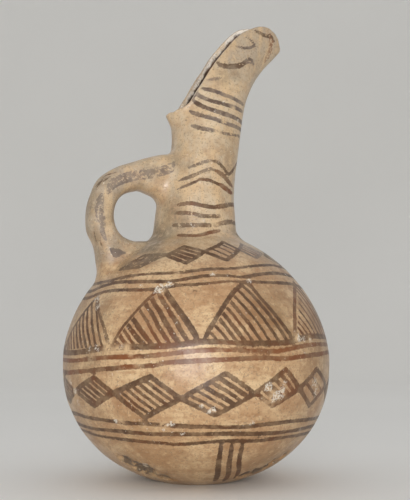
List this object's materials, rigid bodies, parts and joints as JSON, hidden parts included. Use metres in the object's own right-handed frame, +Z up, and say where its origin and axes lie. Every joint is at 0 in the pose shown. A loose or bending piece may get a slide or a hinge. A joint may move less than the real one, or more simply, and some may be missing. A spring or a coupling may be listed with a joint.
{
  "type": "terracotta jug",
  "caption": "Round-bellied terracotta jug with a leaning neck, a long cut-away beak, a strap handle and painted bands, hatched triangles and lozenges.",
  "frame": {"origin": "centre of the flat foot, on the surface that the jug stands on", "axes": "+Z up along the belly's axis, +X towards the beak, -X towards the handle"},
  "size_m": [0.1368, 0.1368, 0.2458],
  "materials": {
    "fired_clay": "buff slipped terracotta with worn red-brown painted patterns, soft sheen"
  },
  "bodies": {
    "root": {"jug": "fired_clay"}
  },
  "joints": []
}
